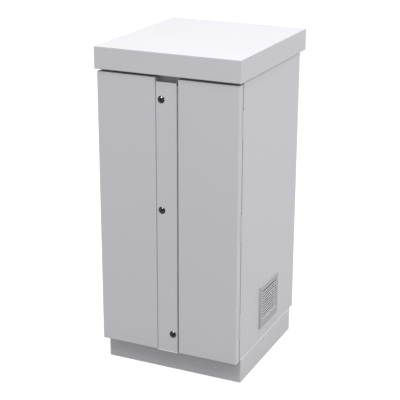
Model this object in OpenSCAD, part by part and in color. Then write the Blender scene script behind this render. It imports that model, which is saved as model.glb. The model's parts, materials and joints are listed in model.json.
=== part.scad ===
// Roadside utility cabinet on a plinth, with two doors and a rain hood.
// Millimetres, +Z up, the doors face -Y, origin on the ground below the middle of the roof.

/* [Overall] */
// Height from the ground to the top of the roof
total_height = 1300; // [1200:10:1400]
// Width of the carcass and of the closed doors
body_width = 582; // [560:2:620]
// Depth of the carcass without its doors
body_depth = 587; // [560:1:640]
// Thickness of the folded sheet
sheet = 2; // [1.5:0.1:2.5]
// Inside radius of a sheet bend
bend_inside_radius = 0.8; // [0.5:0.1:2]

/* [Roof] */
// Height of the roof skirt
roof_height = 86; // [75:1:100]
// Overhang of the roof past each side of the carcass
roof_side_overhang = 6.5; // [6.5:0.5:16]
// Overhang of the roof past the front and the back of the carcass
roof_end_overhang = 44.5; // [42:0.5:60]
// Width of the inturned lip below the front and back skirts
roof_lip = 20; // [12:1:30]
// Diameter of the studs that hold the roof and the mounting plate
stud_diameter = 8; // [6:1:10]
// Length of a roof stud below the roof sheet
roof_stud_length = 18; // [16:1:30]
// Distance of the roof studs from the middle, across the width and along the depth
roof_stud_reach = 200; // [150:5:240]

/* [Plinth] */
// Height of the plinth
plinth_height = 100; // [80:1:150]
// Set-back of the plinth behind the front of the carcass
plinth_front_inset = 12.5; // [8:0.5:40]
// Set-back of the plinth before the back of the carcass
plinth_back_inset = 30.5; // [8:0.5:60]
// Width of the inturned foot flange that carries the anchor holes
plinth_foot_flange = 60; // [50:1:80]
// Width of the inturned top flange
plinth_top_flange = 44; // [40:1:60]
// Diameter of an anchor hole
anchor_hole_diameter = 14; // [10:1:18]
// Distance of an anchor hole from both outside faces of the plinth
anchor_edge = 32; // [28:1:36]
// Diameter of the bolts between the carcass and the plinth
plinth_bolt_diameter = 10; // [8:1:12]
// Distance of a plinth bolt from both outside faces of the plinth
plinth_bolt_edge = 27; // [24:1:28]

/* [Door frame] */
// Gap between the plinth and the foot of the carcass walls
shell_foot_gap = 2; // [1:0.5:4]
// Width of the front flanges that the doors close against
frame_flange = 26; // [24:1:34]
// Depth of the returns on the header and the sill
rail_return = 25; // [15:1:40]
// Height of the turned edges of the floor and the ceiling
tray_flange = 18; // [12:1:22]
// Half the width of the raised part of the centre post
post_half_width = 41.5; // [41:0.5:43]
// Width of each side flange of the centre post
post_flange = 31; // [30:1:45]

/* [Doors] */
// Depth of a door pan
door_depth = 34; // [30:1:38]
// Gap between a closed door and the front of the carcass
door_gap = 3.5; // [3:0.5:5]
// Height of the door feet above the plinth
door_foot_gap = 1; // [1:0.5:5]
// Gap between the door heads and the roof skirt
door_head_gap = 10; // [4:1:20]
// Width of the inturned lip round the back of a door
door_lip = 20; // [20:1:24]
// Distance of each door's meeting edge from the middle
meeting_reach = 46.5; // [46:0.5:50]
// Distance of the seal from the edge of its door
seal_inset = 10; // [9.5:0.5:11]
// Width of the door seals
seal_width = 9; // [6:1:9]
// Clearance between a seal and the face it closes on
seal_clearance = 0.4; // [0.3:0.1:0.8]

/* [Cover strip] */
// Depth of the strip's face behind the door faces
strip_recess = 3; // [2:0.5:5]
// Gap between the strip's free edge and the right door
strip_edge_gap = 6.5; // [5:0.5:9]
// Height of the door heads above the strip
strip_head_drop = 15.5; // [10:0.5:30]
// Reach of the strip below the door feet
strip_foot_drop = 4.5; // [0:0.5:12]
// Radius of the strip's corners
strip_corner_radius = 1.5; // [1:0.5:8]
// Depth of the strip's fixing flange
strip_flange = 15; // [12:1:16]
// Gap between the strip and the centre post
strip_seal_gap = 3; // [2.5:0.5:3.5]
// Width of the seal behind the strip's free edge
strip_seal_width = 6; // [4:0.5:7]
// Diameter of the rivets that hold the strip
rivet_diameter = 4; // [3:0.5:5]
// Number of rivets that hold the strip
rivet_count = 6; // [4:1:9]

/* [Locks] */
// Height of the lower lock above the door feet
lower_lock_rise = 75; // [72:1:120]
// Height of the middle lock as a share of the door height
middle_lock_share = 0.533; // [0.4:0.001:0.6]
// Distance of the upper lock below the door heads
upper_lock_drop = 82; // [60:1:160]
// Place of the lower lock, to the right of the middle
lower_lock_reach = 20; // [16:0.5:21]
// Place of the middle and upper locks, to the left of the middle
upper_lock_reach = 23.5; // [20:0.5:27]
// Diameter of the lock's domed flange
lock_flange_diameter = 29; // [24:1:34]
// Height of the lock's dome
lock_dome_height = 5.5; // [4:0.5:7]
// Diameter of the lock's body behind the strip
lock_body_diameter = 14; // [13:0.5:15]
// Length of the lock's body behind the strip
lock_body_length = 7; // [6.5:0.5:8]
// Width over the flats of the lock's nut
lock_nut_width = 18; // [17:0.5:19]
// Thickness of the lock's nut
lock_nut_thickness = 4; // [3:0.5:5]
// Diameter of the turning plug
plug_diameter = 10; // [9:0.5:11]
// Depth of the plug's face below the top of the dome
plug_recess = 1.5; // [1:0.5:2.5]
// Diameter of the key cup in the plug
key_cup_diameter = 8; // [7:0.5:8]
// Depth of the key cup in the plug
key_cup_depth = 6; // [4:0.5:7]
// Width of the triangular key post
key_post_width = 6; // [5:0.5:7]
// Reach of the cam from the spindle
cam_reach = 38; // [36:1:40]
// Width of the cam
cam_width = 14; // [12:1:16]
// Thickness of the cam
cam_thickness = 3; // [2:0.5:4]
// Width of the square shank in the cam
shank_width = 6; // [5:0.5:7]
// Diameter of the cam screw
cam_screw_diameter = 4; // [3:0.5:4]
// Clearance all round a nut or a cam in its slot
slot_clearance = 1.1; // [0.8:0.1:1.4]

/* [Door bolt] */
// Gap between the bolt's bracket and the edge of the centre post
bolt_post_gap = 4.5; // [3:0.5:40]
// Diameter of the bolt
bolt_diameter = 10; // [8:1:12]
// Length of the bolt below its bracket
bolt_tail = 26; // [24:1:60]
// Gap between the lowered bolt and the header
bolt_head_gap = 4; // [3:0.5:8]
// Clearance round the bolt in the header
bolt_hole_clearance = 1; // [0.5:0.5:2]
// Height of the bolt's bracket
bolt_bracket_height = 100; // [80:5:120]
// Width of the bolt's bracket
bolt_bracket_width = 30; // [26:1:34]
// Distance of the bracket below the header
bolt_bracket_drop = 28; // [20:1:40]
// Length of the bolt's handle from the middle of the bolt
bolt_handle_length = 30; // [24:1:40]
// Diameter of the bolt's handle
bolt_handle_diameter = 7; // [5:0.5:8]

/* [Hinges] */
// Length of a hinge
hinge_length = 110; // [80:2:140]
// Distance of the end hinges' middles from the door's head and foot
hinge_end_distance = 149.5; // [110:0.5:200]
// Radius of a hinge knuckle
knuckle_radius = 5; // [4.5:0.5:6]
// Diameter of a hinge pin
hinge_pin_diameter = 6; // [5:0.5:7]
// Thickness of a hinge leaf
leaf_thickness = 3; // [2:0.5:4]
// Reach of the leaf on the frame behind the axis
frame_leaf_reach = 34; // [20:1:50]
// Reach of the leaf on the door before the axis
door_leaf_reach = 30; // [16:1:31]
// Gap above and below a hinge in its notch
hinge_end_gap = 4; // [2:0.5:6]
// Thickness of the washer between the hinge halves
hinge_washer = 1; // [0.5:0.5:2]
// Radial clearance of a turning fit
running_clearance = 0.05; // [0.02:0.01:0.08]

/* [Vent] */
// Width of the vent grille
vent_width = 192; // [172:2:200]
// Height of the vent grille
vent_height = 180; // [180:2:200]
// Height of the vent's middle above the ground
vent_middle = 244; // [230:1:400]
// Projection of the vent grille from the side wall
vent_projection = 6; // [5:0.5:6.5]
// Width of the grille's bevelled edge
vent_bevel = 2; // [1:0.5:10]
// Width of the opening behind the slats
vent_opening_width = 140; // [110:2:142]
// Height of the opening behind the slats
vent_opening_height = 122; // [100:2:124]
// Number of slats
slat_count = 11; // [6:1:12]
// Thickness of a slat
slat_thickness = 2.4; // [1.5:0.1:3]
// Slope of a slat, below the horizontal
slat_slope = 40; // [20:1:50]
// Thickness of the filter mat
filter_thickness = 10; // [6:1:15]
// Overlap of the filter mat round the opening
filter_overlap = 9; // [6:0.5:10]
// Wall of the retainer behind the filter mat
retainer_wall = 2.5; // [2:0.5:4]
// Diameter of the vent screws
vent_screw_diameter = 4; // [3:0.5:5]
// Distance of the vent screws from the edges of the grille
vent_screw_edge = 11; // [10:0.5:12]

/* [Inside] */
// Radius of the corners of the flat plates and of the cable opening
plate_corner_radius = 6; // [4:0.5:10]
// Width of the mounting plate
plate_width = 460; // [400:10:500]
// Distance of the mounting plate's foot above the floor
plate_lift = 60; // [40:5:80]
// Distance of the mounting plate's head below the roof sheet
plate_drop = 186; // [100:2:300]
// Thickness of the mounting plate
plate_thickness = 2.5; // [2:0.5:4]
// Distance of the mounting plate's studs from its edges
plate_stud_edge = 30; // [20:1:50]
// Length of the spacers behind the mounting plate
plate_spacer_length = 30; // [20:1:50]
// Width of the gland plate
gland_width = 320; // [260:10:400]
// Depth of the gland plate
gland_depth = 220; // [180:10:300]
// Overlap of the gland plate round the cable opening
gland_overlap = 22; // [18:1:30]
// Diameter of the gland plate screws
gland_screw_diameter = 6; // [5:1:8]
// Length of the earth stud
earth_stud_length = 30; // [24:1:40]
// Distance of the earth stud from the edges of the plinth's top flange
earth_stud_edge = 20; // [12:1:40]

/* [Hidden] */
$fn = 48;

paint = [0.74, 0.74, 0.76];
grille_grey = [0.62, 0.62, 0.64];
zinc = [0.72, 0.74, 0.75];
galvanised = [0.66, 0.69, 0.71];
black_metal = [0.08, 0.08, 0.09];
black_rubber = [0.06, 0.06, 0.06];
filter_black = [0.1, 0.1, 0.1];
brass = [0.78, 0.62, 0.3];

// Overshoot of a cutter past the face it cuts
over = sheet;
// Planes of the carcass
side_x = body_width / 2;
front_y = -body_depth / 2;
back_y = body_depth / 2;
floor_z = plinth_height;
roof_under = total_height - sheet;
inner_x = side_x - sheet;
inner_back_y = back_y - sheet;
frame_back_y = front_y + sheet;
bend_radius = sheet + bend_inside_radius;
fit_share = 0.15;
sheet_fit = sheet * fit_share;
// Planes of the roof
roof_x = side_x + roof_side_overhang;
roof_y = back_y + roof_end_overhang;
roof_foot = total_height - roof_height;
// Planes of the plinth
plinth_front = front_y + plinth_front_inset;
plinth_back = back_y - plinth_back_inset;
// Planes of the doors
door_back = front_y - door_gap;
door_front = door_back - door_depth;
door_foot = floor_z + door_foot_gap;
door_head = roof_foot - door_head_gap;
sill_top = door_foot + frame_flange;
header_foot = door_head - frame_flange;
rail_x = side_x - frame_flange;
// Planes of the cover strip and of the centre post behind it
strip_front = door_front + strip_recess;
strip_back = strip_front + sheet;
strip_free_edge = meeting_reach - strip_edge_gap;
strip_foot = door_foot - strip_foot_drop;
strip_head = door_head - strip_head_drop;
strip_flange_back = strip_front + strip_flange;
post_front = strip_back + strip_seal_gap;
post_x = post_half_width + post_flange;
rivet_end_share = 0.06;
rivet_first = strip_foot + (strip_head - strip_foot) * rivet_end_share;
rivet_pitch = (strip_head - strip_foot) * (1 - 2 * rivet_end_share) / (rivet_count - 1);
rivet_tail_share = 0.25;
rivet_tail = rivet_diameter * rivet_tail_share;
rivet_hole = rivet_diameter + sheet_fit;
// Planes of the locks
lock_body_end = strip_back + lock_body_length;
cam_front = lock_body_end + sheet_fit;
cam_back = cam_front + cam_thickness;
lock_heights = [door_foot + lower_lock_rise, door_foot + (door_head - door_foot) * middle_lock_share,
    door_head - upper_lock_drop];
lock_places = [lower_lock_reach, -upper_lock_reach, -upper_lock_reach];
cam_screw_head_share = 0.7;
cam_screw_depth_share = 2;
hex_share = cos(30);
slot_half = lock_nut_width / 2 / hex_share + slot_clearance;
slot_foot = cam_reach + 2 * slot_clearance;
// Places of the right door's bolt and its bracket
bolt_at = [post_x + bolt_post_gap + bolt_bracket_width / 2, front_y + rail_return / 2];
bolt_head = header_foot - bolt_head_gap;
bracket_head = header_foot - bolt_bracket_drop;
bracket_foot = bracket_head - bolt_bracket_height;
bracket_back = bolt_at.y + bolt_diameter;
bolt_foot = bracket_foot - bolt_tail;
// Hinge axis and the notches round the knuckles
hinge_x = side_x;
hinge_y = (front_y + door_back) / 2;
hinge_middle = (door_foot + door_head) / 2;
hinge_spacing = (door_head - door_foot) / 2 - hinge_end_distance;
knuckle_room_share = 1.06;
knuckle_room = knuckle_radius * knuckle_room_share;
half_hinge = (hinge_length - hinge_washer) / 2;
pin_cap_share = 0.1;
pin_cap = half_hinge * pin_cap_share;
// Planes of the vent
slat_pitch = vent_opening_height / slat_count;
slat_rise = vent_projection * tan(slat_slope);
retainer_depth = filter_thickness + retainer_wall;
vent_screw_share = 0.7;
vent_screw_length = retainer_depth + sheet + vent_projection * vent_screw_share;
vent_screw_y = vent_width / 2 - vent_screw_edge;
vent_screw_z = vent_height / 2 - vent_screw_edge;
// Places of fasteners
nut_share = 0.8;
nut_width_share = 1.65;
hole_share = 1.1;
plate_foot = floor_z + sheet + plate_lift;
plate_head = roof_under - plate_drop;
plate_back = inner_back_y - plate_spacer_length;
plate_front = plate_back - plate_thickness;
plate_stud_x = plate_width / 2 - plate_stud_edge;
plate_stud_heights = [plate_foot + plate_stud_edge, plate_head - plate_stud_edge];
gland_y = (plinth_front + plinth_back) / 2;
gland_screw_edge = gland_overlap / 2;
earth_at = [-side_x, plinth_front] + [1, 1] * (plinth_top_flange + earth_stud_edge);
plinth_bolt_x = side_x - plinth_bolt_edge;
plinth_bolt_ys = [plinth_front + plinth_bolt_edge, plinth_back - plinth_bolt_edge];
anchor_x = side_x - anchor_edge;
anchor_ys = [plinth_front + anchor_edge, plinth_back - anchor_edge];

// Flat area between two corners, with round corners
module rounded_area(low, high, r) {
    translate([low.x + r, low.y])
        square([high.x - low.x - 2 * r, high.y - low.y]);
    translate([low.x, low.y + r])
        square([high.x - low.x, high.y - low.y - 2 * r]);
    for (x = [low.x + r, high.x - r], y = [low.y + r, high.y - r])
        translate([x, y])
            circle(r);
}

// Block between two corners
module block(low, high) {
    translate(low)
        cube(high - low);
}

// Blocks between two corners, with the edges along one axis bent round
module bent_z(low, high, r) {
    translate([0, 0, low.z])
        linear_extrude(high.z - low.z)
            rounded_area([low.x, low.y], [high.x, high.y], r);
}

module bent_x(low, high, r) {
    translate([low.x, 0, 0])
        rotate([90, 0, 90])
            linear_extrude(high.x - low.x)
                rounded_area([low.y, low.z], [high.y, high.z], r);
}

module bent_y(low, high, r) {
    translate([0, high.y, 0])
        rotate([90, 0, 0])
            linear_extrude(high.y - low.y)
                rounded_area([low.x, low.z], [high.x, high.z], r);
}

// Rods along one axis, from a point over a length
module rod_y(from, d, length) {
    translate(from)
        rotate([-90, 0, 0])
            cylinder(d = d, h = length);
}

module rod_z(from, d, length) {
    translate(from)
        cylinder(d = d, h = length);
}

// Six-sided bar along Z, given its width over the flats
module hex_bar(width, length) {
    cylinder(d = width / hex_share, h = length, $fn = 6);
}

// Nut on a thread along Z
module hex_nut(thread) {
    difference() {
        hex_bar(thread * nut_width_share, thread * nut_share);
        translate([0, 0, -over])
            cylinder(d = thread, h = thread * nut_share + 2 * over);
    }
}

// Pan folded from sheet, with its open side on +Z or -Z
module sheet_tray(low, high, sheet_at_foot) {
    cut_low = sheet_at_foot ? sheet : -over;
    cut_high = sheet_at_foot ? over : -sheet;
    difference() {
        bent_z(low, high, bend_radius);
        bent_z(low + [sheet, sheet, cut_low], high + [-sheet, -sheet, cut_high], bend_inside_radius);
    }
}

// The four places of the bolts between the carcass and the plinth
module at_plinth_bolts(z) {
    for (x = [-plinth_bolt_x, plinth_bolt_x], y = plinth_bolt_ys)
        translate([x, y, z])
            children();
}

module at_roof_studs(z) {
    for (x = [-roof_stud_reach, roof_stud_reach], y = [-roof_stud_reach, roof_stud_reach])
        translate([x, y, z])
            children();
}

module at_plate_studs(y) {
    for (x = [-plate_stud_x, plate_stud_x], z = plate_stud_heights)
        translate([x, y, z])
            rotate([90, 0, 0])
                children();
}

module at_gland_screws(z) {
    reach_x = gland_width / 2 - gland_screw_edge;
    reach_y = gland_depth / 2 - gland_screw_edge;
    for (x = [-reach_x, 0, reach_x], y = [-reach_y, reach_y])
        translate([x, gland_y + y, z])
            children();
}

module at_vent_screws(x) {
    for (y = [-vent_screw_y, vent_screw_y], z = [-vent_screw_z, vent_screw_z])
        translate([x, y, vent_middle + z])
            rotate([0, 90, 0])
                children();
}

module plinth() {
    low = [-side_x, plinth_front, 0];
    high = [side_x, plinth_back, plinth_height];
    wall = [sheet, sheet, sheet];
    foot = [plinth_foot_flange, plinth_foot_flange, -over];
    top = [plinth_top_flange, plinth_top_flange, 0];
    color(paint)
        difference() {
            intersection() {
                bent_z(low, high, bend_radius);
                bent_x(low, high, bend_radius);
                bent_y(low, high, bend_radius);
            }
            intersection() {
                bent_z(low + wall, high - wall, bend_inside_radius);
                bent_x(low + wall, high - wall, bend_inside_radius);
                bent_y(low + wall, high - wall, bend_inside_radius);
            }
            block(low + foot, [high.x - foot.x, high.y - foot.y, sheet + over]);
            block([low.x + top.x, low.y + top.y, high.z - sheet - over], high + [-top.x, -top.y, over]);
            for (x = [-anchor_x, anchor_x], y = anchor_ys)
                rod_z([x, y, -over], anchor_hole_diameter, sheet + 2 * over);
            at_plinth_bolts(plinth_height - sheet - over)
                cylinder(d = plinth_bolt_diameter * hole_share, h = sheet + 2 * over);
        }
}

module plinth_bolts() {
    head = plinth_bolt_diameter * nut_share;
    shank = 2 * sheet + 2 * head;
    color(zinc)
        at_plinth_bolts(floor_z + sheet) {
            hex_bar(plinth_bolt_diameter * nut_width_share, head);
            translate([0, 0, -shank])
                cylinder(d = plinth_bolt_diameter, h = shank + head / 2);
        }
}

module plinth_nuts() {
    color(zinc)
        at_plinth_bolts(plinth_height - sheet - plinth_bolt_diameter * nut_share)
            hex_nut(plinth_bolt_diameter);
}

module floor_pan() {
    low = [-inner_x + sheet_fit, frame_back_y + sheet_fit, floor_z];
    high = [inner_x - sheet_fit, inner_back_y - sheet_fit, floor_z + tray_flange];
    cable_x = gland_width / 2 - gland_overlap;
    cable_y = gland_depth / 2 - gland_overlap;
    color(paint)
        difference() {
            sheet_tray(low, high, true);
            bent_z([-cable_x, gland_y - cable_y, floor_z - over],
                [cable_x, gland_y + cable_y, floor_z + sheet + over], plate_corner_radius);
            at_plinth_bolts(floor_z - over)
                cylinder(d = plinth_bolt_diameter * hole_share, h = sheet + 2 * over);
            at_gland_screws(floor_z - over)
                cylinder(d = gland_screw_diameter * hole_share, h = sheet + 2 * over);
            rod_z([earth_at.x, earth_at.y, floor_z - over], stud_diameter * hole_share, sheet + 2 * over);
        }
}

module gland_plate() {
    foot = floor_z + sheet;
    color(galvanised)
        difference() {
            bent_z([-gland_width / 2, gland_y - gland_depth / 2, foot],
                [gland_width / 2, gland_y + gland_depth / 2, foot + sheet], plate_corner_radius);
            at_gland_screws(foot - over)
                cylinder(d = gland_screw_diameter * hole_share, h = sheet + 2 * over);
        }
}

module gland_screws() {
    seat = floor_z + 2 * sheet;
    head = gland_screw_diameter * nut_share;
    shank = 2 * sheet + head;
    color(zinc)
        at_gland_screws(seat) {
            hex_bar(gland_screw_diameter * nut_width_share, head);
            translate([0, 0, -shank])
                cylinder(d = gland_screw_diameter, h = shank + head / 2);
        }
}

// Notches in the front corner of a side wall for the hinge knuckles
module frame_notches() {
    for (place = [-1:1])
        translate([0, 0, hinge_middle + place * hinge_spacing])
            for (side = [-1, 1])
                translate([side * hinge_x, hinge_y, 0])
                    cube([2 * knuckle_room, 2 * knuckle_room, hinge_length + 2 * hinge_end_gap], center = true);
}

module shell() {
    low = [-side_x, front_y, floor_z + shell_foot_gap];
    high = [side_x, back_y, roof_under];
    wall = [sheet, sheet, -over];
    vent_x = inner_x - over;
    color(paint)
        difference() {
            bent_z(low, high, bend_radius);
            bent_z(low + wall, high - wall, bend_inside_radius);
            block([-rail_x, front_y - over, floor_z - over],
                [rail_x, frame_back_y + over, roof_under + over]);
            frame_notches();
            block([vent_x, -vent_opening_width / 2, vent_middle - vent_opening_height / 2],
                [side_x + over, vent_opening_width / 2, vent_middle + vent_opening_height / 2]);
            at_vent_screws(vent_x)
                cylinder(d = vent_screw_diameter * hole_share, h = sheet + 2 * over);
        }
}

// Angle across the front, folded into the cabinet along its foot or along its head
module front_rail(foot, head, fold_at_foot) {
    past = 3 * bend_radius;
    low = [-rail_x, front_y, fold_at_foot ? foot : foot - past];
    high = [rail_x, front_y + rail_return + past, fold_at_foot ? head + past : head];
    intersection() {
        block([-rail_x, front_y, foot], [rail_x, front_y + rail_return, head]);
        difference() {
            bent_x(low, high, bend_radius);
            bent_x(low + [-over, sheet, sheet], high + [over, past, -sheet], bend_inside_radius);
        }
    }
}

module header_rail() {
    color(paint)
        difference() {
            front_rail(header_foot, roof_under, true);
            rod_z([bolt_at.x, bolt_at.y, header_foot - over], bolt_diameter + 2 * bolt_hole_clearance,
                sheet + 2 * over);
        }
}

module sill_rail() {
    color(paint)
        front_rail(floor_z, sill_top, false);
}

// Slots in the centre post that the lock nuts and cams pass through
module lock_slots() {
    for (i = [0:2])
        translate([lock_places[i], 0, lock_heights[i]])
            block([-slot_half, post_front - over, -slot_foot],
                [slot_half, post_front + sheet + over, slot_half]);
}

// Window that the lower cam turns through, in the post's wall and in the right door's wall
module cam_window(low_x, high_x) {
    foot = lock_heights[0] - cam_reach;
    head = lock_heights[0] + cam_width / 2 + 2 * slot_clearance;
    block([low_x - over, cam_front - 2 * slot_clearance, foot],
        [high_x + over, cam_back + 2 * slot_clearance, head]);
}

module centre_post() {
    wall_x = post_half_width - sheet;
    past = 3 * bend_radius;
    color(paint)
        difference() {
            intersection() {
                block([-post_x, post_front, sill_top], [post_x, frame_back_y, header_foot]);
                union() {
                    bent_z([-post_half_width, post_front, sill_top],
                        [post_half_width, frame_back_y + past, header_foot], bend_radius);
                    block([-post_x, front_y, sill_top], [post_x, frame_back_y, header_foot]);
                }
            }
            bent_z([-wall_x, post_front + sheet, sill_top - over],
                [wall_x, frame_back_y + past, header_foot + over], bend_inside_radius);
            lock_slots();
            cam_window(wall_x, post_half_width);
        }
}

module ceiling_panel() {
    low = [-inner_x + sheet_fit, frame_back_y + sheet_fit, roof_under - tray_flange];
    high = [inner_x - sheet_fit, inner_back_y - sheet_fit, roof_under];
    color(paint)
        difference() {
            sheet_tray(low, high, false);
            at_roof_studs(roof_under - sheet - over)
                cylinder(d = stud_diameter * hole_share, h = sheet + 2 * over);
        }
}

module roof() {
    low = [-roof_x, -roof_y, roof_foot];
    high = [roof_x, roof_y, total_height];
    wall = [sheet, sheet, sheet];
    drop = [0, 0, roof_height];
    lip_y = roof_y - roof_lip;
    color(paint)
        difference() {
            intersection() {
                bent_x(low, high, bend_radius);
                bent_y(low - drop, high, bend_radius);
            }
            intersection() {
                bent_x(low + wall, high - wall, bend_inside_radius);
                bent_y(low + wall - drop, high - wall, bend_inside_radius);
            }
            block([-roof_x + sheet, -lip_y, roof_foot - over],
                [roof_x - sheet, lip_y, roof_foot + sheet + over]);
        }
}

module roof_studs() {
    color(zinc)
        at_roof_studs(roof_under - roof_stud_length)
            cylinder(d = stud_diameter, h = roof_stud_length);
}

module roof_nuts() {
    color(zinc)
        at_roof_studs(roof_under - sheet - stud_diameter * nut_share)
            hex_nut(stud_diameter);
}

// Outline of the grille with bevelled edges, seen along one edge
module bevelled_area(size) {
    polygon([[0, -size / 2], [0, size / 2], [vent_projection, size / 2 - vent_bevel],
        [vent_projection, -size / 2 + vent_bevel]]);
}

// One slat, sloping down to the outside
module slat() {
    rotate([90, 0, 0])
        linear_extrude(vent_opening_width + 2 * sheet, center = true)
            polygon([[0, slat_rise], [0, slat_rise + slat_thickness],
                [vent_projection, slat_thickness], [vent_projection, 0]]);
}

module vent_grille() {
    half = [vent_opening_width / 2, vent_opening_height / 2];
    first = vent_middle - half.y - slat_rise / 2;
    color(grille_grey)
        difference() {
            translate([side_x, 0, 0])
                union() {
                    difference() {
                        intersection() {
                            translate([0, 0, vent_middle - vent_height / 2])
                                linear_extrude(vent_height)
                                    bevelled_area(vent_width);
                            translate([0, vent_width / 2, vent_middle])
                                rotate([90, 0, 0])
                                    linear_extrude(vent_width)
                                        bevelled_area(vent_height);
                        }
                        block([-over, -half.x, vent_middle - half.y],
                            [vent_projection + over, half.x, vent_middle + half.y]);
                    }
                    intersection() {
                        for (i = [0:slat_count - 1])
                            translate([0, 0, first + i * slat_pitch])
                                slat();
                        block([0, -half.x - sheet, vent_middle - half.y - sheet],
                            [vent_projection, half.x + sheet, vent_middle + half.y + sheet]);
                    }
                }
            at_vent_screws(inner_x - retainer_depth)
                cylinder(d = vent_screw_diameter, h = vent_screw_length);
        }
}

module vent_filter() {
    half = [vent_opening_width / 2 + filter_overlap, vent_opening_height / 2 + filter_overlap];
    color(filter_black)
        block([inner_x - filter_thickness, -half.x, vent_middle - half.y],
            [inner_x, half.x, vent_middle + half.y]);
}

module vent_retainer() {
    half = [vent_opening_width / 2 + filter_overlap, vent_opening_height / 2 + filter_overlap];
    bar = retainer_wall;
    color(grille_grey)
        difference() {
            union() {
                difference() {
                    block([inner_x - retainer_depth, -vent_width / 2, vent_middle - vent_height / 2],
                        [inner_x, vent_width / 2, vent_middle + vent_height / 2]);
                    block([inner_x - filter_thickness, -half.x, vent_middle - half.y],
                        [inner_x + over, half.x, vent_middle + half.y]);
                    block([inner_x - retainer_depth - over, -vent_opening_width / 2,
                            vent_middle - vent_opening_height / 2],
                        [inner_x, vent_opening_width / 2, vent_middle + vent_opening_height / 2]);
                }
                for (i = [-1:1]) {
                    bar_y = i * vent_opening_width / 4;
                    bar_z = vent_middle + i * vent_opening_height / 4;
                    block([inner_x - retainer_depth, bar_y - bar, vent_middle - half.y],
                        [inner_x - filter_thickness, bar_y + bar, vent_middle + half.y]);
                    block([inner_x - retainer_depth, -half.x, bar_z - bar],
                        [inner_x - filter_thickness, half.x, bar_z + bar]);
                }
            }
            at_vent_screws(inner_x - retainer_depth - over)
                cylinder(d = vent_screw_diameter * hole_share, h = retainer_depth + 2 * over);
        }
}

module vent_screws() {
    head = vent_screw_diameter * nut_share;
    color(zinc)
        at_vent_screws(inner_x - retainer_depth) {
            cylinder(d = vent_screw_diameter, h = vent_screw_length);
            translate([0, 0, -head])
                hex_bar(vent_screw_diameter * nut_width_share, head);
        }
}

module mounting_plate() {
    color(galvanised)
        difference() {
            bent_y([-plate_width / 2, plate_front, plate_foot],
                [plate_width / 2, plate_back, plate_head], plate_corner_radius);
            at_plate_studs(plate_back + over)
                cylinder(d = stud_diameter * hole_share, h = plate_thickness + 2 * over);
        }
}

module plate_studs() {
    length = plate_spacer_length + plate_thickness + 2 * stud_diameter * nut_share;
    color(zinc)
        at_plate_studs(inner_back_y)
            cylinder(d = stud_diameter, h = length);
}

module plate_spacers() {
    color(zinc)
        at_plate_studs(inner_back_y)
            difference() {
                cylinder(d = 2 * stud_diameter, h = plate_spacer_length);
                translate([0, 0, -over])
                    cylinder(d = stud_diameter * hole_share, h = plate_spacer_length + 2 * over);
            }
}

module plate_nuts() {
    color(zinc)
        at_plate_studs(plate_front)
            hex_nut(stud_diameter);
}

module earth_stud() {
    head = stud_diameter * nut_share;
    color(brass)
        translate([earth_at.x, earth_at.y, floor_z]) {
            translate([0, 0, -head])
                hex_bar(stud_diameter * nut_width_share, head);
            cylinder(d = stud_diameter, h = earth_stud_length);
        }
}

module earth_nuts() {
    color(brass)
        for (i = [0:1])
            translate([earth_at.x, earth_at.y, floor_z + sheet + 2 * i * stud_diameter * nut_share])
                hex_nut(stud_diameter);
}

// The three hinge places of the right door, on the hinge axis
module at_hinges() {
    for (place = [-1:1])
        translate([hinge_x, hinge_y, hinge_middle + place * hinge_spacing - hinge_length / 2])
            children();
}

// Lower half of each hinge, with its leaf on the inside of the side wall
module hinge_frame_halves() {
    color(paint)
        at_hinges()
            difference() {
                union() {
                    cylinder(r = knuckle_radius, h = half_hinge);
                    block([-sheet - leaf_thickness, 0, 0], [-sheet, frame_leaf_reach, half_hinge]);
                }
                translate([0, 0, -over])
                    cylinder(d = hinge_pin_diameter, h = half_hinge + 2 * over);
            }
}

// Upper half of each hinge, with its leaf on the inside of the door's wall
module hinge_door_halves() {
    bore = hinge_pin_diameter + 2 * running_clearance;
    color(paint)
        at_hinges()
            translate([0, 0, half_hinge + hinge_washer])
                difference() {
                    union() {
                        cylinder(r = knuckle_radius, h = half_hinge);
                        block([-sheet - leaf_thickness, -door_leaf_reach, 0], [-sheet, 0, half_hinge]);
                    }
                    translate([0, 0, -over])
                        cylinder(d = bore, h = half_hinge + over - pin_cap);
                }
}

module hinge_pins() {
    color(zinc)
        at_hinges()
            cylinder(d = hinge_pin_diameter, h = hinge_length - 2 * pin_cap);
}

module hinge_washers() {
    color(zinc)
        at_hinges()
            translate([0, 0, half_hinge])
                difference() {
                    cylinder(r = knuckle_radius, h = hinge_washer - running_clearance);
                    translate([0, 0, -over])
                        cylinder(d = hinge_pin_diameter + 2 * running_clearance, h = hinge_washer + 2 * over);
                }
}

module left_hinge_frame_halves() mirror([1, 0, 0]) hinge_frame_halves();
module right_hinge_frame_halves() hinge_frame_halves();
module left_hinge_door_halves() mirror([1, 0, 0]) hinge_door_halves();
module right_hinge_door_halves() hinge_door_halves();
module left_hinge_pins() mirror([1, 0, 0]) hinge_pins();
module right_hinge_pins() hinge_pins();
module left_hinge_washers() mirror([1, 0, 0]) hinge_washers();
module right_hinge_washers() hinge_washers();

// Door pan on the right, with a lip all round its back
module door_pan() {
    low = [meeting_reach, door_front, door_foot];
    high = [side_x, door_back, door_head];
    wall = [sheet, sheet, sheet];
    lip = [door_lip, 0, door_lip];
    difference() {
        intersection() {
            bent_z(low, high, bend_radius);
            bent_x(low, high, bend_radius);
        }
        intersection() {
            bent_z(low + wall, high - wall, bend_inside_radius);
            bent_x(low + wall, high - wall, bend_inside_radius);
        }
        block([low.x, door_back - sheet - over, low.z] + lip, [high.x, door_back + over, high.z] - lip);
        frame_notches();
    }
}

module left_door() {
    color(paint)
        difference() {
            mirror([1, 0, 0])
                door_pan();
            at_rivets(-meeting_reach - sheet - over)
                cylinder(d = rivet_hole, h = sheet + 2 * over);
        }
}

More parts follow.
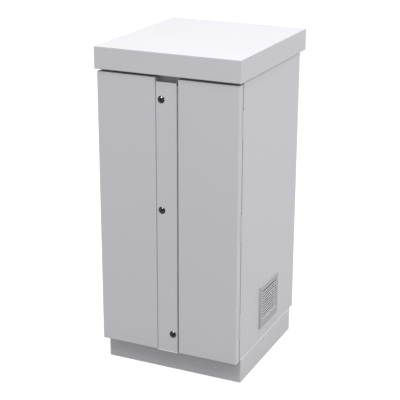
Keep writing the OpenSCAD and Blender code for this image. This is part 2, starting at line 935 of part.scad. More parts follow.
module right_door() {
    color(paint)
        difference() {
            door_pan();
            cam_window(meeting_reach, meeting_reach + sheet);
        }
}

// Channel on the inside of the right door that guides the bolt in its two ears
module door_bolt_bracket() {
    past = 3 * bend_radius;
    low = [bolt_at.x - bolt_bracket_width / 2, door_front + sheet, bracket_foot];
    high = [bolt_at.x + bolt_bracket_width / 2, bracket_back, bracket_head];
    color(galvanised)
        difference() {
            intersection() {
                block(low, high);
                bent_x(low, high + [0, past, 0], bend_radius);
            }
            bent_x(low + [-over, sheet, sheet], high + [over, past, -sheet], bend_inside_radius);
            rod_z([bolt_at.x, bolt_at.y, bracket_foot - over], bolt_diameter + 2 * running_clearance,
                bolt_bracket_height + 2 * over);
        }
}

// Bolt with a side handle that rests on the bracket's lower ear
module door_bolt() {
    handle_z = bracket_foot + sheet + bolt_handle_diameter / 2;
    color(zinc)
        translate([bolt_at.x, bolt_at.y, 0]) {
            translate([0, 0, bolt_foot])
                cylinder(d = bolt_diameter, h = bolt_head - bolt_foot);
            translate([0, 0, handle_z + running_clearance])
                rotate([0, 90, 0])
                    cylinder(d = bolt_handle_diameter, h = bolt_handle_length);
        }
}

// Rubber frame on the back lip of the right door
module door_seal() {
    thickness = door_gap - seal_clearance;
    low = [meeting_reach + seal_inset, door_back, door_foot + seal_inset];
    high = [side_x - seal_inset, door_back + thickness, door_head - seal_inset];
    color(black_rubber)
        difference() {
            bent_y(low, high, seal_width);
            block(low + [seal_width, -over, seal_width], high + [-seal_width, over, -seal_width]);
        }
}

module left_door_seal() mirror([1, 0, 0]) door_seal();
module right_door_seal() door_seal();

module at_rivets(x) {
    for (i = [0:rivet_count - 1])
        translate([x, (strip_back + strip_flange_back) / 2, rivet_first + i * rivet_pitch])
            rotate([0, 90, 0])
                children();
}

module cover_strip() {
    edge = -meeting_reach;
    past = 3 * bend_radius;
    color(paint)
        difference() {
            intersection() {
                bent_y([edge - bend_radius, strip_front - over, strip_foot],
                    [strip_free_edge, strip_flange_back + over, strip_head], strip_corner_radius);
                bent_z([edge, strip_front, strip_foot],
                    [strip_free_edge + past, strip_flange_back + past, strip_head], bend_radius);
                block([edge, strip_front, strip_foot], [strip_free_edge, strip_flange_back, strip_head]);
            }
            bent_z([edge + sheet, strip_back, strip_foot - over],
                [strip_free_edge + past, strip_flange_back + past, strip_head + over], bend_inside_radius);
            for (i = [0:2])
                rod_y([lock_places[i], strip_front - over, lock_heights[i]],
                    lock_body_diameter + 2 * running_clearance, sheet + 2 * over);
            at_rivets(edge - over)
                cylinder(d = rivet_hole, h = sheet + 2 * over);
        }
}

// Rivets through the door's wall and the strip's flange, with their heads inside the door
module strip_rivets() {
    head = rivet_tail;
    color(zinc)
        at_rivets(-meeting_reach - sheet - head) {
            cylinder(d = 2 * rivet_diameter, h = head);
            cylinder(d = rivet_diameter, h = head + 2 * sheet + rivet_tail);
        }
}

module strip_seal() {
    edge = strip_free_edge - sheet;
    color(black_rubber)
        block([edge - strip_seal_width, strip_back, sill_top], [edge, post_front - seal_clearance, header_foot]);
}

// Domed flange and threaded body of each lock, bored for its plug
module lock_housings() {
    dome_radius = (pow(lock_flange_diameter / 2, 2) + pow(lock_dome_height, 2)) / (2 * lock_dome_height);
    color(black_metal)
        for (i = [0:2])
            translate([lock_places[i], strip_front, lock_heights[i]])
                difference() {
                    union() {
                        intersection() {
                            translate([0, dome_radius - lock_dome_height, 0])
                                sphere(dome_radius);
                            rod_y([0, -lock_dome_height, 0], lock_flange_diameter, lock_dome_height);
                        }
                        rod_y([0, 0, 0], lock_body_diameter, lock_body_end - strip_front);
                    }
                    rod_y([0, -lock_dome_height - over, 0], plug_diameter + 2 * running_clearance,
                        lock_dome_height + lock_body_end - strip_front + 2 * over);
                }
}

module lock_nuts() {
    color(zinc)
        for (i = [0:2])
            translate([lock_places[i], strip_back, lock_heights[i]])
                rotate([-90, 0, 0])
                    difference() {
                        hex_bar(lock_nut_width, lock_nut_thickness);
                        translate([0, 0, -over])
                            cylinder(d = lock_body_diameter, h = lock_nut_thickness + 2 * over);
                    }
}

// Plug with a triangular key post in its cup and a square shank behind
module lock_plug(i) {
    plug_front = strip_front - lock_dome_height + plug_recess;
    color(black_metal)
        translate([lock_places[i], 0, lock_heights[i]])
            difference() {
                union() {
                    difference() {
                        rod_y([0, plug_front, 0], plug_diameter, lock_body_end - plug_front + sheet_fit / 2);
                        rod_y([0, plug_front - over, 0], key_cup_diameter, key_cup_depth + over);
                    }
                    translate([0, plug_front, 0])
                        rotate([-90, 0, 0])
                            cylinder(d = key_post_width, h = key_cup_depth + sheet, $fn = 3);
                    block([-shank_width / 2, lock_body_end - sheet, -shank_width / 2],
                        [shank_width / 2, cam_back, shank_width / 2]);
                }
                rod_y([0, cam_back - cam_screw_diameter * cam_screw_depth_share, 0], cam_screw_diameter,
                    cam_screw_diameter * cam_screw_depth_share + over);
            }
}

// Cam on the plug's shank, hanging down when the lock is open
module lock_cam(i) {
    tip = -cam_reach + cam_width / 2;
    color(zinc)
        translate([lock_places[i], 0, lock_heights[i]])
            difference() {
                union() {
                    block([-cam_width / 2, cam_front, tip], [cam_width / 2, cam_back, 0]);
                    for (z = [0, tip])
                        rod_y([0, cam_front, z], cam_width, cam_thickness);
                }
                block([-shank_width / 2, cam_front - over, -shank_width / 2],
                    [shank_width / 2, cam_back + over, shank_width / 2]);
            }
}

module cam_screw(i) {
    depth = cam_screw_diameter * cam_screw_depth_share;
    head = cam_screw_diameter * cam_screw_head_share;
    color(zinc)
        translate([lock_places[i], cam_back, lock_heights[i]])
            rotate([-90, 0, 0]) {
                hex_bar(2 * cam_screw_diameter, head);
                translate([0, 0, -depth])
                    cylinder(d = cam_screw_diameter, h = depth + head / 2);
            }
}

module lower_lock_plug() lock_plug(0);
module lower_lock_cam() lock_cam(0);
module lower_lock_screw() cam_screw(0);
module middle_lock_plug() lock_plug(1);
module middle_lock_cam() lock_cam(1);
module middle_lock_screw() cam_screw(1);
module upper_lock_plug() lock_plug(2);
module upper_lock_cam() lock_cam(2);
module upper_lock_screw() cam_screw(2);

plinth();
plinth_bolts();
plinth_nuts();
floor_pan();
gland_plate();
gland_screws();
shell();
header_rail();
sill_rail();
centre_post();
ceiling_panel();
roof();
roof_studs();
roof_nuts();
vent_grille();
vent_filter();
vent_retainer();
vent_screws();
mounting_plate();
plate_studs();
plate_spacers();
plate_nuts();
earth_stud();
earth_nuts();
left_hinge_frame_halves();
right_hinge_frame_halves();
left_hinge_pins();
right_hinge_pins();
left_hinge_washers();
right_hinge_washers();
left_door();
left_door_seal();
left_hinge_door_halves();
right_door();
right_door_seal();
right_hinge_door_halves();
door_bolt_bracket();
door_bolt();
cover_strip();
strip_rivets();
strip_seal();
lock_housings();
lock_nuts();
lower_lock_plug();
lower_lock_cam();
lower_lock_screw();
middle_lock_plug();
middle_lock_cam();
middle_lock_screw();
upper_lock_plug();
upper_lock_cam();
upper_lock_screw();
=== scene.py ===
import json, math
import bmesh, bpy
from mathutils import Matrix, Vector


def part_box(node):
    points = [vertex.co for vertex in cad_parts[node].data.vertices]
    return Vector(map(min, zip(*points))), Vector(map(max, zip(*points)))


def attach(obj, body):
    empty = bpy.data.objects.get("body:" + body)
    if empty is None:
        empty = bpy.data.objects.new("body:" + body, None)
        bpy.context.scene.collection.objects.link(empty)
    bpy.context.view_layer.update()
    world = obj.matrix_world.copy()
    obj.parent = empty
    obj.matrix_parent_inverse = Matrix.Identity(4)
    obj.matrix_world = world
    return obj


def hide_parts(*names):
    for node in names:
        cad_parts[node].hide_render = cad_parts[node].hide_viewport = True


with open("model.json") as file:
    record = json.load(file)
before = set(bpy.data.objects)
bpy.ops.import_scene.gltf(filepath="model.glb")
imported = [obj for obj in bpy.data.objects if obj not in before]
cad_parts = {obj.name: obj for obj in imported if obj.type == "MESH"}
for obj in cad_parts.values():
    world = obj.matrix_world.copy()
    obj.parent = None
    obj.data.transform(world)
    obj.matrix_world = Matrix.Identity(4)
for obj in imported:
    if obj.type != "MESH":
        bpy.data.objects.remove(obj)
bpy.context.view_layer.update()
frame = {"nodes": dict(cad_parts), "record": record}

mm = 0.001
scene = bpy.context.scene
scene.view_settings.view_transform = "Standard"
print("frame loaded:", len(frame["nodes"]), "nodes")


# one output of a node, which can be used in sums
class Wire:
    def __init__(self, board, socket):
        self.board, self.socket = board, socket

    def combine(self, operation, first, second):
        return self.board.add("ShaderNodeMath", {"operation": operation}, {0: first, 1: second})

    def __add__(self, other):
        return self.combine("ADD", self, other)

    def __sub__(self, other):
        return self.combine("SUBTRACT", self, other)

    def __rsub__(self, other):
        return self.combine("SUBTRACT", other, self)

    def __mul__(self, other):
        return self.combine("MULTIPLY", self, other)

    def __rmul__(self, other):
        return self.combine("MULTIPLY", other, self)

    def __truediv__(self, other):
        return self.combine("DIVIDE", self, other)

    def most(self, other):  # the larger of two
        return self.combine("MAXIMUM", self, other)

    def clamped(self):  # kept from 0 to 1
        return self.combine("MINIMUM", self.most(0.0), 1.0)

    def output(self, name):  # another output of the same node
        return Wire(self.board, self.socket.node.outputs[name])


# a node tree that is being wired
class Board:
    def __init__(self, tree):
        self.tree = tree
        tree.nodes.clear()

    def add(self, kind, settings=None, sockets=None, out=0):
        node = self.tree.nodes.new(kind)
        for name, value in (settings or {}).items():
            setattr(node, name, value)
        for key, value in (sockets or {}).items():
            for one in value if isinstance(value, list) else [value]:
                if isinstance(one, Wire):
                    self.tree.links.new(one.socket, node.inputs[key])
                else:
                    node.inputs[key].default_value = one
        return Wire(self, node.outputs[out]) if node.outputs else node

    def mix(self, factor, first, second):  # blend of two colours
        return self.add("ShaderNodeMix", {"data_type": "RGBA"}, {0: factor, 6: first, 7: second}, 2)

    def noise(self, place, scale, detail, rough=0.5):
        return self.add("ShaderNodeTexNoise", {}, {"Vector": place, "Scale": scale, "Detail": detail,
                                                   "Roughness": rough})

    def stretched(self, place, scale):
        return self.add("ShaderNodeMapping", {}, {"Vector": place, "Scale": scale})

    def bump(self, height, strength, depth):
        return self.add("ShaderNodeBump", {}, {"Height": height, "Strength": strength, "Distance": depth})

    def xyz(self, x=0.0, y=0.0, z=0.0):
        return self.add("ShaderNodeCombineXYZ", {}, {0: x, 1: y, 2: z})


# the photograph's view; degrees, metres and pixels, with the sensor in millimetres
view = {"azimuth": 24.64, "elevation": 19.12, "roll": 0.20, "distance": 4.63625, "aimHeight": 0.65,
        "slideRight": -0.01351, "slideUp": -0.01808, "focalPixels": 1142.27, "framePixels": 400, "sensor": 36,
        "farthest": 100}


def makeCamera(shot):
    azimuth, elevation, roll = (math.radians(shot[angle]) for angle in ("azimuth", "elevation", "roll"))
    level = math.cos(elevation)
    back = Vector((math.sin(azimuth) * level, -math.cos(azimuth) * level, math.sin(elevation)))
    right = Vector((math.cos(azimuth), math.sin(azimuth), 0))
    up = back.cross(right)
    eye = Vector((0, 0, shot["aimHeight"])) + back * shot["distance"]
    eye = eye + right * shot["slideRight"] + up * shot["slideUp"]
    across = right * math.cos(roll) + up * math.sin(roll)
    upright = up * math.cos(roll) - right * math.sin(roll)
    camera = bpy.data.objects.new("camera", bpy.data.cameras.new("camera"))
    camera.data.sensor_width = shot["sensor"]
    camera.data.lens = shot["focalPixels"] / shot["framePixels"] * shot["sensor"]
    camera.data.clip_end = shot["farthest"]
    rows = [(across[i], upright[i], back[i], eye[i]) for i in range(3)]
    camera.matrix_world = Matrix(rows + [(0, 0, 0, 1)])
    scene.collection.objects.link(camera)
    scene.camera = camera


makeCamera(view)
print("camera placed")

# plain soft studio light, in metres and watts; the glint lamp shines on the locks alone
studio = {"sky": 0.825, "background": 1.0, "floorBounce": 0.2, "floorGlow": 0.91, "floorShade": 0.17,
          "floorReach": 40.0,
          "lamps": {"front": {"at": (0.4, -4.6, 9.0), "to": (0, -0.3, 0.7), "size": 4.0, "watts": 540},
                    "right": {"at": (6.4, -0.7, 7.9), "to": (0.3, 0, 0.7), "size": 4.0, "watts": 460},
                    "glint": {"at": (-1.7, -12.6, 10.7), "to": (0, -0.3, 0.7), "size": 6.0, "watts": 7000,
                              "mirrorOnly": True}}}


def grey(level, cool=0.0):
    return (level, level, level * (1 + cool), 1)


def newObject(name, data):
    obj = bpy.data.objects.new(name, data)
    scene.collection.objects.link(obj)
    return obj


def seenRays(board):  # 1 for what the camera sees, in mirrors too
    path = board.add("ShaderNodeLightPath", out="Is Camera Ray")
    return path.most(path.output("Is Glossy Ray")).most(path.output("Is Transmission Ray"))


def makeWorld(setup):
    scene.world = bpy.data.worlds.new("studio")
    scene.world.use_nodes = True
    board = Board(scene.world.node_tree)
    sky = board.add("ShaderNodeBackground", {}, {"Color": grey(1), "Strength": setup["sky"]})
    backdrop = board.add("ShaderNodeBackground", {}, {"Color": grey(1), "Strength": setup["background"]})
    both = board.add("ShaderNodeMixShader", {}, {0: seenRays(board), 1: sky, 2: backdrop})
    board.add("ShaderNodeOutputWorld", {}, {"Surface": both})


def makeFloor(setup):
    white = bpy.data.materials.new("floorWhite")
    white.use_nodes = True
    board = Board(white.node_tree)
    dull = board.add("ShaderNodeBsdfDiffuse", {}, {"Color": grey(setup["floorBounce"])})
    shade = board.add("ShaderNodeBsdfDiffuse", {}, {"Color": grey(setup["floorShade"])})
    glow = board.add("ShaderNodeEmission", {}, {"Color": grey(1), "Strength": setup["floorGlow"]})
    bright = board.add("ShaderNodeAddShader", {}, {0: shade, 1: glow})
    both = board.add("ShaderNodeMixShader", {}, {0: seenRays(board), 1: dull, 2: bright})
    board.add("ShaderNodeOutputMaterial", {}, {"Surface": both})
    reach = setup["floorReach"]
    mesh = bpy.data.meshes.new("floor")
    mesh.from_pydata([(-reach, -reach, 0), (reach, -reach, 0), (reach, reach, 0), (-reach, reach, 0)], [],
                     [(0, 1, 2, 3)])
    mesh.materials.append(white)
    newObject("floor", mesh)


def makeLamp(name, lamp):
    light = bpy.data.lights.new(name, "AREA")
    light.size, light.energy = lamp["size"], lamp["watts"]
    obj = newObject(name, light)
    obj.location = lamp["at"]
    obj.rotation_euler = (Vector(lamp["to"]) - Vector(lamp["at"])).to_track_quat("-Z", "Y").to_euler()
    obj.visible_diffuse = not lamp.get("mirrorOnly", False)


makeWorld(studio)
makeFloor(studio)
for name, lamp in studio["lamps"].items():
    makeLamp(name, lamp)
print("studio lit")


# finishes, with depths in metres; each noise is its scale, detail and, where it matters, roughness
noiseMiddle = 0.5


def swing(noise):  # a noise about zero
    return noise - noiseMiddle


def makeFinish(name, build):
    material = bpy.data.materials.new(name)
    material.use_nodes = True
    board = Board(material.node_tree)
    place = board.add("ShaderNodeTexCoord", out="Object")
    shader = board.add("ShaderNodeBsdfPrincipled", {}, build(board, place))
    board.add("ShaderNodeOutputMaterial", {}, {"Surface": shader})
    return material


powderCoat = {"low": (0.464, 0.459, 0.486, 1), "high": (0.566, 0.561, 0.594, 1), "cloudNoise": (2.6, 3.0),
              "cloud": 0.3, "speckNoise": (1100.0, 1.0), "speck": 0.25, "rough": 0.42, "roughSpread": 0.12,
              "peelNoise": (330.0, 2.0), "peelSpeck": 0.35, "peel": 0.10, "peelDepth": 0.0002}

# painted highlight along the plinth's top, painted shade in the door gaps and beside the cover strip, and a
# darkening towards the ground; reaches, depths and heights in millimetres
paintedMarks = {"groundDarkening": (0.30, 0.29, 0.26, 1), "groundDarkeningShare": 0.15, "groundDarkeningHeight": 170.0,
        "groundDarkeningNoise": (14.0, 5.0, 0.6),
        # painted highlight along the plinth's top
        "plinthHighlight": (0.80, 0.79, 0.80, 1), "plinthHighlightShare": 0.75, "plinthHighlightReach": 2.4,
        # painted shade in the door gaps and beside the cover strip
        "paintedShade": (0.10, 0.10, 0.095, 1), "gapShare": 0.60, "gapBehindDoor": 3.4, "gapReach": 3.2,
        "gapDepth": 7.0, "gapEnd": 0.5, "lineShare": 0.28, "lineReach": 1.8, "lineDepth": 4.0}
sideFace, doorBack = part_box("right_door")[1][0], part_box("right_door")[1][1]
stripEdge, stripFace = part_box("left_door")[1][0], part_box("cover_strip")[0][1]
plinthTop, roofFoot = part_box("plinth")[1][2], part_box("roof")[0][2]


def nearness(value, middle, reach):  # 1 at the middle, 0 from the reach on
    away = (value - middle) / reach
    return (1 - away * away).most(0.0)


def gapShade(x, y):  # painted shade in the gap between a door and the side wall
    depth, end = paintedMarks["gapDepth"] * mm, paintedMarks["gapEnd"] * mm
    outside = (x * x - (sideFace - depth) ** 2) / (2 * sideFace * depth)
    notProud = ((sideFace + end) ** 2 - x * x) / (2 * sideFace * end)  # keeps it off the hinges
    line = nearness(y, doorBack + paintedMarks["gapBehindDoor"] * mm, paintedMarks["gapReach"] * mm)
    return line * outside.most(0.0) * notProud.clamped() * paintedMarks["gapShare"]


def stripShade(x, y):  # painted shade where the cover strip meets the left door
    inFront = ((stripFace + paintedMarks["lineDepth"] * mm - y) / mm).clamped()
    return nearness(x, stripEdge, paintedMarks["lineReach"] * mm) * inFront * paintedMarks["lineShare"]


def buildPaint(board, place):
    cloud = board.noise(place, *powderCoat["cloudNoise"])
    speck = board.noise(place, *powderCoat["speckNoise"])
    tone = swing(cloud) * powderCoat["cloud"] + swing(speck) * powderCoat["speck"] + noiseMiddle
    peel = board.noise(place, *powderCoat["peelNoise"]) + powderCoat["peelSpeck"] * speck
    paint = board.mix(tone, powderCoat["low"], powderCoat["high"])
    x = board.add("ShaderNodeSeparateXYZ", {}, {0: place})
    y, z = x.output("Y"), x.output("Z")
    fall = (1 - z / (paintedMarks["groundDarkeningHeight"] * mm)).most(0.0)  # darker towards the ground
    groundDarkening = fall * (board.noise(place, *paintedMarks["groundDarkeningNoise"]) + noiseMiddle) * paintedMarks["groundDarkeningShare"]
    paint = board.mix(groundDarkening, paint, paintedMarks["groundDarkening"])
    # painted highlight in a band at the plinth's top edge
    plinthHighlight = nearness(z, plinthTop, paintedMarks["plinthHighlightReach"] * mm) * paintedMarks["plinthHighlightShare"]
    paint = board.mix(plinthHighlight, paint, paintedMarks["plinthHighlight"])
    # painted shade in the door gaps and beside the cover strip, kept below the roof's foot
    belowRoof = ((roofFoot - z) / mm).clamped()
    paint = board.mix((gapShade(x, y) + stripShade(x, y)) * belowRoof, paint, paintedMarks["paintedShade"])
    return {"Base Color": paint,
            "Roughness": swing(cloud) * powderCoat["roughSpread"] + powderCoat["rough"],
            "Normal": board.bump(peel, powderCoat["peel"], powderCoat["peelDepth"])}


# the slats' paler tone is a painted highlight where they catch light from above
mouldedPlastic = {"dark": grey(0.345, 0.04), "pale": grey(0.40, 0.04), "slatHighlight": grey(0.54, 0.03),
                  "flow": (6.0, 6.0, 22.0), "flowNoise": (1.0, 3.0), "rough": 0.55, "roughSpread": 0.15,
                  "grainScale": 900.0, "grainSmooth": 0.6, "grain": 0.25, "grainDepth": 0.0002}


def buildPlastic(board, place):
    flow = board.noise(board.stretched(place, mouldedPlastic["flow"]), *mouldedPlastic["flowNoise"])
    grain = board.add("ShaderNodeTexVoronoi", {"feature": "SMOOTH_F1"},
                      {"Vector": place, "Scale": mouldedPlastic["grainScale"],
                       "Smoothness": mouldedPlastic["grainSmooth"]})
    # marks the slats, which get the painted highlight
    sunny = board.add("ShaderNodeAttribute", {"attribute_name": "sunny"}, out="Fac")
    plain = board.mix(flow, mouldedPlastic["dark"], mouldedPlastic["pale"])
    return {"Base Color": board.mix(sunny, plain, mouldedPlastic["slatHighlight"]),
            "Roughness": swing(flow) * mouldedPlastic["roughSpread"] + mouldedPlastic["rough"],
            "Normal": board.bump(grain, mouldedPlastic["grain"], mouldedPlastic["grainDepth"])}


zincPlate = {"dark": (0.50, 0.52, 0.53, 1), "pale": (0.68, 0.69, 0.66, 1), "patchNoise": (140.0, 4.0, 0.6),
             "rough": 0.30, "roughSpread": 0.25, "fineNoise": (2600.0, 2.0), "fineRough": 0.06, "fine": 0.1,
             "fineDepth": 0.0001}


def buildZinc(board, place):
    patch = board.noise(place, *zincPlate["patchNoise"])
    fine = board.noise(place, *zincPlate["fineNoise"])
    rough = swing(patch) * zincPlate["roughSpread"] + fine * zincPlate["fineRough"] + zincPlate["rough"]
    return {"Base Color": board.mix(patch, zincPlate["dark"], zincPlate["pale"]), "Metallic": 1.0,
            "Roughness": rough,
            "Normal": board.bump(fine, zincPlate["fine"], zincPlate["fineDepth"])}


galvanised = {"dark": (0.40, 0.43, 0.45, 1), "pale": (0.60, 0.63, 0.65, 1), "metal": 0.9,
              "spangleScale": 55.0, "spangle": 0.6, "wobbleNoise": (90.0, 2.0), "wobble": 0.012,
              "hazeNoise": (9.0, 4.0), "haze": 0.4, "rough": 0.38, "roughSpread": 0.18, "relief": 0.05,
              "reliefDepth": 0.0002}


def buildGalvanised(board, place):
    wobble = board.noise(place, *galvanised["wobbleNoise"]).output("Color")
    bent = board.add("ShaderNodeVectorMath", {"operation": "MULTIPLY_ADD"},
                     {0: wobble, 1: (galvanised["wobble"],) * 3, 2: place})
    cell = board.add("ShaderNodeTexVoronoi", {}, {"Vector": bent, "Scale": galvanised["spangleScale"]})
    spangle = board.add("ShaderNodeSeparateColor", {}, {0: cell.output("Color")})
    haze = board.noise(place, *galvanised["hazeNoise"])
    tone = spangle * galvanised["spangle"] + haze * galvanised["haze"]
    return {"Base Color": board.mix(tone, galvanised["dark"], galvanised["pale"]),
            "Metallic": galvanised["metal"],
            "Roughness": spangle.output("Green") * galvanised["roughSpread"] + galvanised["rough"],
            "Normal": board.bump(spangle + haze, galvanised["relief"], galvanised["reliefDepth"])}


blackLock = {"dark": grey(0.008, 0.06), "pale": grey(0.016, 0.06), "castNoise": (800.0, 3.0), "shine": 0.3,
             "rough": 0.10, "roughSpread": 0.10, "cast": 0.04, "castDepth": 0.0001}


def buildLockBlack(board, place):
    cast = board.noise(place, *blackLock["castNoise"])
    return {"Base Color": board.mix(cast, blackLock["dark"], blackLock["pale"]),
            "Specular IOR Level": blackLock["shine"],
            "Roughness": cast * blackLock["roughSpread"] + blackLock["rough"],
            "Normal": board.bump(cast, blackLock["cast"], blackLock["castDepth"])}


foamRubber = {"dark": grey(0.012), "pale": grey(0.030), "cellScale": 1300.0, "dustNoise": (30.0, 4.0),
              "rough": 0.82, "roughSpread": 0.1, "cells": 0.35, "cellDepth": 0.0003}


def buildRubber(board, place):
    cells = board.add("ShaderNodeTexVoronoi", {}, {"Vector": place, "Scale": foamRubber["cellScale"]})
    dust = board.noise(place, *foamRubber["dustNoise"])
    return {"Base Color": board.mix(dust, foamRubber["dark"], foamRubber["pale"]),
            "Roughness": dust * foamRubber["roughSpread"] + foamRubber["rough"],
            "Normal": board.bump(cells, foamRubber["cells"], foamRubber["cellDepth"])}


plainBrass = {"dark": (0.50, 0.33, 0.11, 1), "pale": (0.72, 0.52, 0.22, 1), "tarnishNoise": (160.0, 4.0, 0.6),
              "rough": 0.26, "roughSpread": 0.25, "fineNoise": (2200.0, 2.0), "fine": 0.08,
              "fineDepth": 0.0001}


def buildBrass(board, place):
    tarnish = board.noise(place, *plainBrass["tarnishNoise"])
    fine = board.noise(place, *plainBrass["fineNoise"])
    return {"Base Color": board.mix(tarnish, plainBrass["dark"], plainBrass["pale"]), "Metallic": 1.0,
            "Roughness": tarnish * plainBrass["roughSpread"] + plainBrass["rough"],
            "Normal": board.bump(fine, plainBrass["fine"], plainBrass["fineDepth"])}


fibreMat = {"dark": grey(0.018), "pale": grey(0.075), "across": (300.0, 60.0, 700.0),
            "along": (300.0, 700.0, 60.0), "fibreNoise": (1.0, 4.0, 0.65), "darkBelow": 0.35, "contrast": 2,
            "rough": 0.95, "roughSpread": 0.1, "relief": 0.6, "reliefDepth": 0.0006}


def buildFibre(board, place):
    across = board.noise(board.stretched(place, fibreMat["across"]), *fibreMat["fibreNoise"])
    along = board.noise(board.stretched(place, fibreMat["along"]), *fibreMat["fibreNoise"])
    fibre = across.most(along)
    tone = (fibre - fibreMat["darkBelow"]) * fibreMat["contrast"]
    return {"Base Color": board.mix(tone, fibreMat["dark"], fibreMat["pale"]),
            "Roughness": fibreMat["rough"] - fibre * fibreMat["roughSpread"],
            "Normal": board.bump(fibre, fibreMat["relief"], fibreMat["reliefDepth"])}


finishes = {"cabinet_paint": makeFinish("powderCoat", buildPaint),
            "grille_plastic": makeFinish("mouldedPlastic", buildPlastic),
            "filter_mat": makeFinish("fibreMat", buildFibre),
            "zinc_plate": makeFinish("zincPlate", buildZinc),
            "galvanised_sheet": makeFinish("galvanised", buildGalvanised),
            "lock_black": makeFinish("blackLock", buildLockBlack),
            "seal_rubber": makeFinish("foamRubber", buildRubber),
            "brass": makeFinish("plainBrass", buildBrass)}
slotOf = {part["node"]: part["material_slot"] for part in frame["record"]["subparts"]}
bodyOf = {node: body for body, nodes in frame["record"]["behaviour"]["bodies"].items() for node in nodes}
for node, slot in slotOf.items():
    for place in frame["nodes"][node].material_slots:
        place.material = finishes[slot]
print("finishes on the solids:", len(finishes))

sameSpot = 0.01 * mm  # points nearer than this are one
rowDigits = 4  # solids that start level to this many digits of a metre are in one row


# boxes of a node's separate solids, from the lowest up
def solidsOf(node):
    form = bmesh.new()
    form.from_mesh(frame["nodes"][node].data)
    bmesh.ops.remove_doubles(form, verts=form.verts, dist=sameSpot)
    boxes, seen = [], set()
    for start in form.verts:
        if start in seen:
            continue
        island, queue = [], [start]
        seen.add(start)
        while queue:
            vert = queue.pop()
            island.append(vert.co)
            for edge in vert.link_edges:
                near = edge.other_vert(vert)
                if near not in seen:
                    seen.add(near)
                    queue.append(near)
        boxes.append((Vector(min(c[i] for c in island) for i in range(3)),
                      Vector(max(c[i] for c in island) for i in range(3))))
    form.free()
    return sorted(boxes, key=lambda box: [round(box[0][i], rowDigits) for i in (2, 0, 1)])


# geometry trees
def makeTree(name, inputs, build):
    tree = bpy.data.node_groups.new(name, "GeometryNodeTree")
    for label, kind in {"Geometry": "Geometry", **inputs, "Finish": "Material"}.items():
        tree.interface.new_socket(label, in_out="INPUT", socket_type="NodeSocket" + kind)
    tree.interface.new_socket("Geometry", in_out="OUTPUT", socket_type="NodeSocketGeometry")
    board = Board(tree)
    given = board.add("NodeGroupInput")
    solid = board.add("GeometryNodeRealizeInstances", {}, {"Geometry": build(board, given.output)})
    dressed = board.add("GeometryNodeSetMaterial", {}, {"Geometry": solid,
                                                        "Material": given.output("Finish")})
    board.add("NodeGroupOutput", {}, {0: dressed})
    return tree


usualSharp = 32  # degrees; an edge that turns further stays sharp


def bake(name, tree, base, sizes, slot, sharp=usualSharp):  # base is a mesh, or a list of points
    if isinstance(base, list):
        points = bpy.data.meshes.new(name)
        points.from_pydata(base, [], [])
        base = points
    obj = newObject(name, base)
    nodes = obj.modifiers.new("nodes", "NODES")
    nodes.node_group = tree
    values = dict(sizes, Finish=finishes[slot])
    for item in tree.interface.items_tree:
        if item.in_out == "INPUT" and item.name in values:
            nodes[item.identifier] = values[item.name]
    mesh = bpy.data.meshes.new_from_object(obj.evaluated_get(bpy.context.evaluated_depsgraph_get()))
    obj.modifiers.remove(nodes)
    obj.data = mesh
    for face in mesh.polygons:
        face.use_smooth = True
    mesh.set_sharp_from_angle(angle=math.radians(sharp))
    return obj


def fitted(obj, body, slot, *nodes):
    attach(obj, body)
    if nodes:
        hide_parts(*nodes)
    print("made", obj.name, len(obj.data.polygons), "faces")


def moved(board, shape, z, turn=(0, 0, 0)):
    return board.add("GeometryNodeTransform", {}, {"Geometry": shape, "Translation": board.xyz(z=z),
                                                   "Rotation": turn})


def cut(board, operation, meshes):
    return board.add("GeometryNodeMeshBoolean", {"operation": operation, "solver": "EXACT"}, meshes)


def straightRun(board, length):  # a line along Y, about its middle
    return board.add("GeometryNodeCurvePrimitiveLine", {}, {"Start": board.xyz(y=length * -0.5),
                                                           "End": board.xyz(y=length * 0.5)})


def ringOf(board, sides, radius):
    return board.add("GeometryNodeCurvePrimitiveCircle", {"mode": "RADIUS"},
                     {"Resolution": sides, "Radius": radius})


def rounded(board, curve, steps, radius):
    return board.add("GeometryNodeFilletCurve", {"mode": "POLY"},
                     {"Curve": curve, "Count": steps, "Radius": radius})


def facing(board, curve, way):
    return board.add("GeometryNodeSetCurveNormal", {"mode": "FREE"}, {"Curve": curve, "Normal": way})


def swept(board, curve, section, capped=True):
    return board.add("GeometryNodeCurveToMesh", {}, {"Curve": curve, "Profile Curve": section,
                                                     "Fill Caps": capped})


# a cone trims the corners of each hexagon; tip and rise are shares of its width, the drill of its height
hexagon = {"corners": 6, "coneFaces": 36, "coneAngle": 60, "tipShare": 0.39, "tipRise": 0.05, "boreFaces": 32,
           "drillShare": 3}


def hexBlock(board, width, height, bothEnds):  # stands on zero
    widest = 0.5 / math.cos(math.pi / hexagon["corners"])
    block = board.add("GeometryNodeMeshCylinder", {}, {"Vertices": hexagon["corners"], "Depth": height,
                                                       "Radius": width * widest})
    steep = math.tan(math.radians(hexagon["coneAngle"]))
    tip, rise = hexagon["tipShare"], hexagon["tipRise"]
    cone = board.add("GeometryNodeMeshCone", {},
                     {"Vertices": hexagon["coneFaces"], "Depth": height * 2 + width * rise,
                      "Radius Top": width * tip,
                      "Radius Bottom": width * (tip + rise * steep) + height * (2 * steep)})
    cone = moved(board, cone, height * -1)
    cutters = [moved(board, block, height * 0.5), cone]
    if bothEnds:
        cutters.append(moved(board, cone, height, (math.pi, 0, 0)))
    return cut(board, "INTERSECT", {"Mesh 2": cutters})


# shares of the thread's width, and turns left plain at the ends together
rod = {"faces": 24, "coreShare": 0.44, "ridgeShare": 0.06, "ridgeSides": 4, "stepsOfTurn": 18,
       "plainTurns": 0.8}


